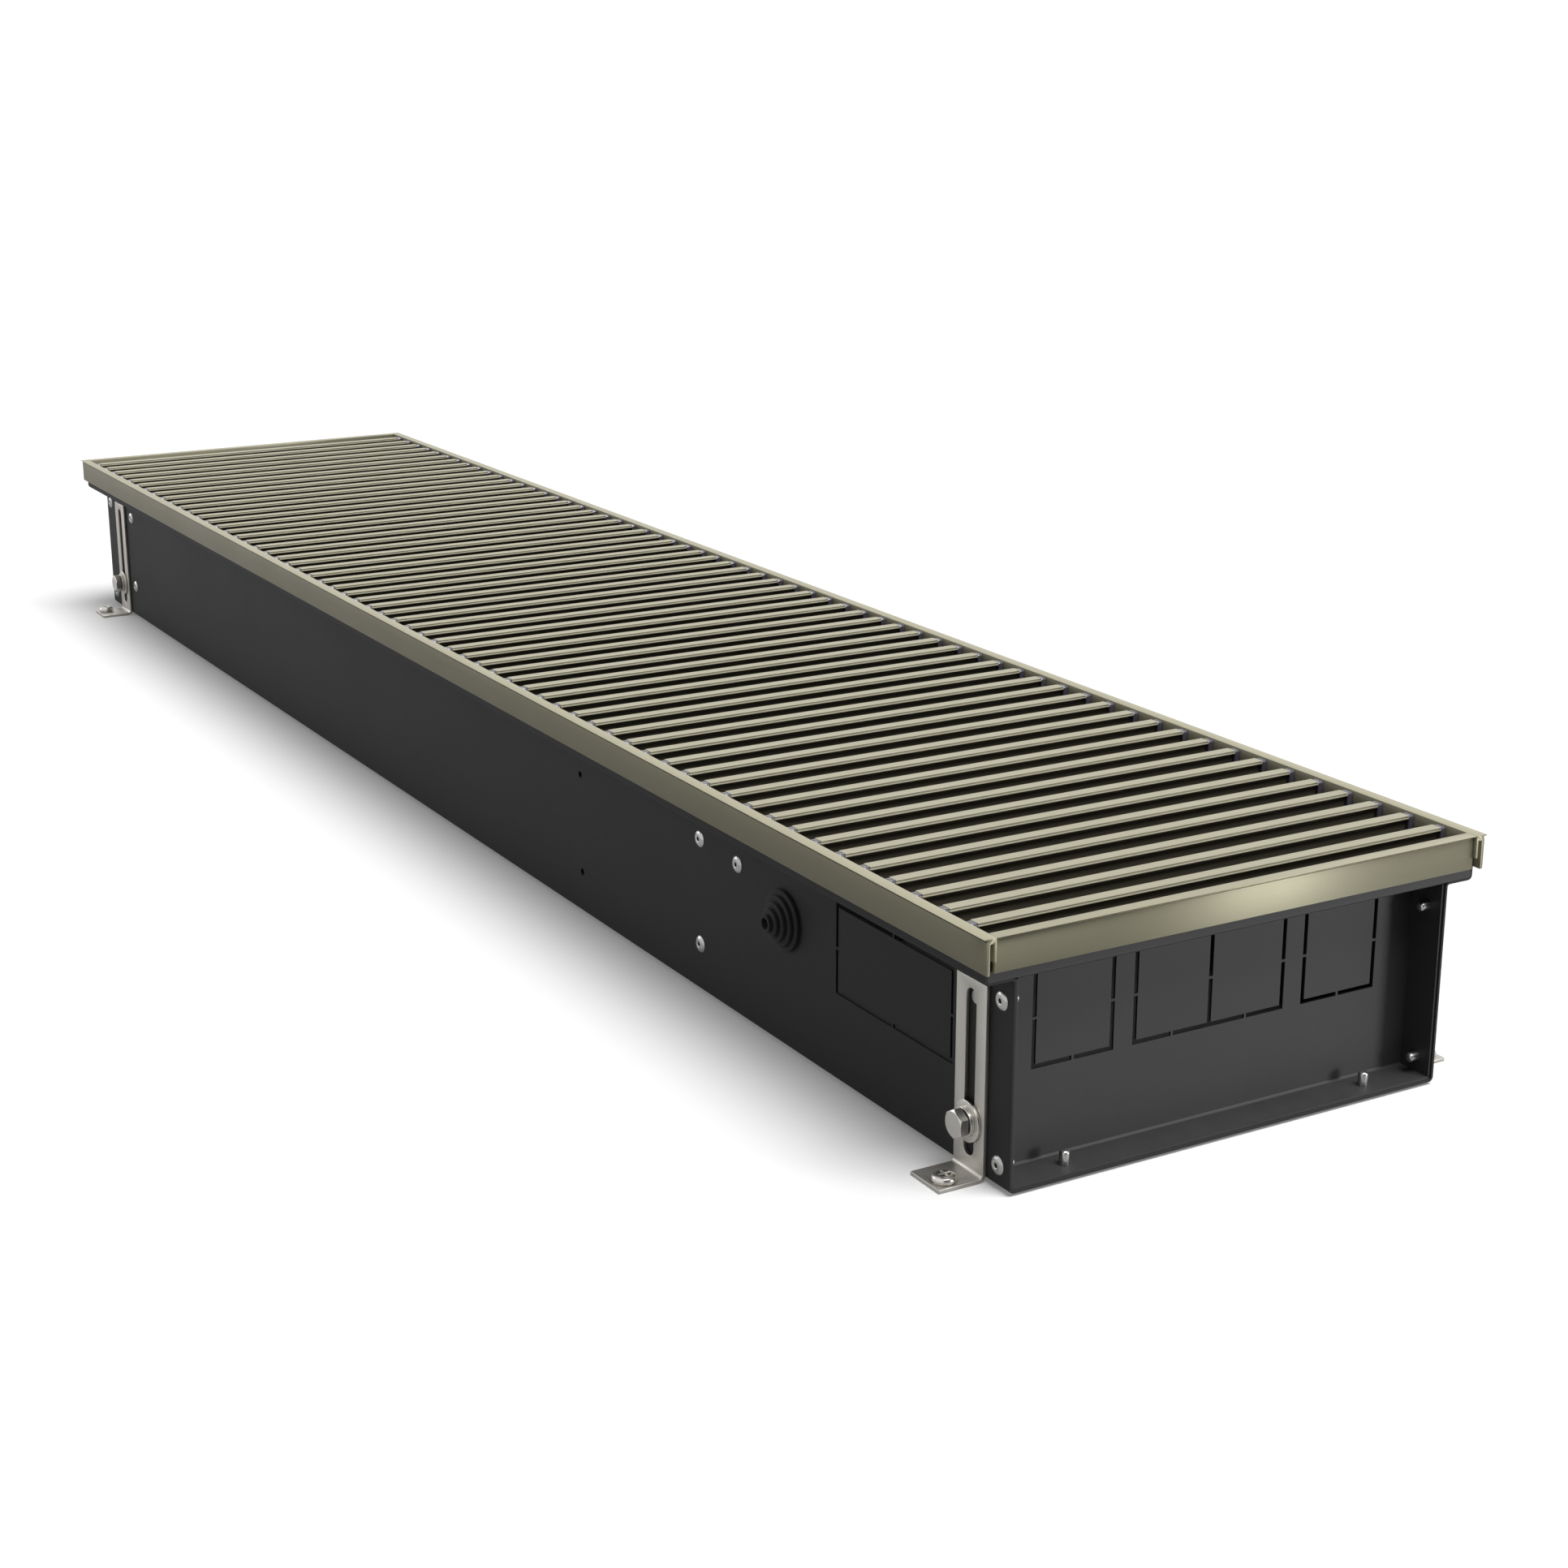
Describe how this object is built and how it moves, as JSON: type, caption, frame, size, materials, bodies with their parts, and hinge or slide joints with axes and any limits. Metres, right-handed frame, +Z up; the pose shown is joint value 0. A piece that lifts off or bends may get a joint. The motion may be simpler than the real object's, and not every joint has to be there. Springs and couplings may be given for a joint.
{
  "type": "trench convector heater",
  "caption": "Long floor-sunk trench heater: steel trough with recessed end panel, anodised rim, roll-up cross-bar grille, finned copper exchanger, cross-flow fan and levelling brackets.",
  "frame": {"origin": "on the floor under the middle of the casing", "axes": "+X along the casing towards the connection end, +Y towards the exchanger side, +Z up"},
  "size_m": [1.412, 0.3122, 0.1305],
  "materials": {
    "casing": "satin charcoal powder coat",
    "rim": "satin champagne anodised",
    "bars": "satin champagne anodised",
    "plugs": "glossy dark grey",
    "wire": "bright drawn",
    "black_rubber": "matte black",
    "black_plastic": "matte black",
    "zinc": "bright zinc plated",
    "rivet": "bright",
    "fins": "plain rolled",
    "copper": "drawn copper",
    "brass": "turned",
    "duct": "galvanised",
    "wheel": "plain",
    "motor": "satin grey",
    "box": "fine grained",
    "ceramic": "smooth pale"
  },
  "bodies": {
    "casing": {"casing_trough": "casing", "end_panel_near": "casing", "end_panel_far": "casing", "rim_side_left": "rim", "rim_side_right": "rim", "rim_end_near": "rim", "rim_end_far": "rim", "damping_strip_left": "black_rubber", "damping_strip_right": "black_rubber", "clamp_bolts": "zinc", "clamp_washers": "zinc", "spring_washers": "zinc", "clamp_nuts": "zinc", "case_rivets": "rivet", "slot_rivets": "rivet", "cable_grommet": "black_rubber", "partition": "casing", "exchanger_support": "casing", "exchanger_fins": "fins", "exchanger_tubes": "copper", "return_bends": "copper", "water_sockets": "brass", "air_vent": "brass", "fan_housing_near": "duct", "fan_housing_far": "duct", "shaft_bearings": "brass", "bearing_rubbers": "black_rubber", "motor_housing": "motor", "motor_cap": "motor", "motor_stator": "motor", "motor_windings": "copper", "motor_bracket": "duct", "motor_rings": "black_rubber", "terminal_box": "box", "terminal_lid": "box", "lid_screws": "rivet", "terminal_block": "ceramic", "terminal_screws": "brass", "cable_glands": "black_plastic", "motor_cable": "black_plastic", "cable_clips": "black_plastic", "cable_bush": "black_rubber"},
    "grille": {"grille_bars": "bars", "grille_end_plugs": "plugs", "grille_tie_wires": "wire", "grille_spacers": "black_plastic"},
    "fan_rotor": {"fan_wheel_near": "wheel", "fan_wheel_far": "wheel", "fan_shafts": "wire", "motor_rotor": "motor"},
    "vent_screw": {"bleed_screw": "rivet"},
    "bracket_near_left": {"level_bracket_near_left": "zinc", "foot_screw_near_left": "zinc"},
    "bracket_near_right": {"level_bracket_near_right": "zinc", "foot_screw_near_right": "zinc"},
    "bracket_far_left": {"level_bracket_far_left": "zinc", "foot_screw_far_left": "zinc"},
    "bracket_far_right": {"level_bracket_far_right": "zinc", "foot_screw_far_right": "zinc"}
  },
  "joints": [
    {"name": "grille_lift", "type": "slide", "parent": "casing", "child": "grille", "axis": [0, 0, 1], "range_m": [0, 0.12]},
    {"name": "bracket_near_left_slide", "type": "slide", "parent": "casing", "child": "bracket_near_left", "axis": [0, 0, 1], "range_m": [-0.061, 0.007]},
    {"name": "bracket_near_right_slide", "type": "slide", "parent": "casing", "child": "bracket_near_right", "axis": [0, 0, 1], "range_m": [-0.061, 0.007]},
    {"name": "bracket_far_left_slide", "type": "slide", "parent": "casing", "child": "bracket_far_left", "axis": [0, 0, 1], "range_m": [-0.061, 0.007]},
    {"name": "bracket_far_right_slide", "type": "slide", "parent": "casing", "child": "bracket_far_right", "axis": [0, 0, 1], "range_m": [-0.061, 0.007]},
    {"name": "fan_spin", "type": "hinge", "parent": "casing", "child": "fan_rotor", "pos_m": [-0.11, -0.068, 0.05], "axis": [1, 0, 0], "continuous": true},
    {"name": "vent_screw_turn", "type": "hinge", "parent": "casing", "child": "vent_screw", "pos_m": [0.48, 0.081, 0.09], "axis": [0, 0, 1], "range_deg": [0, 270]}
  ]
}
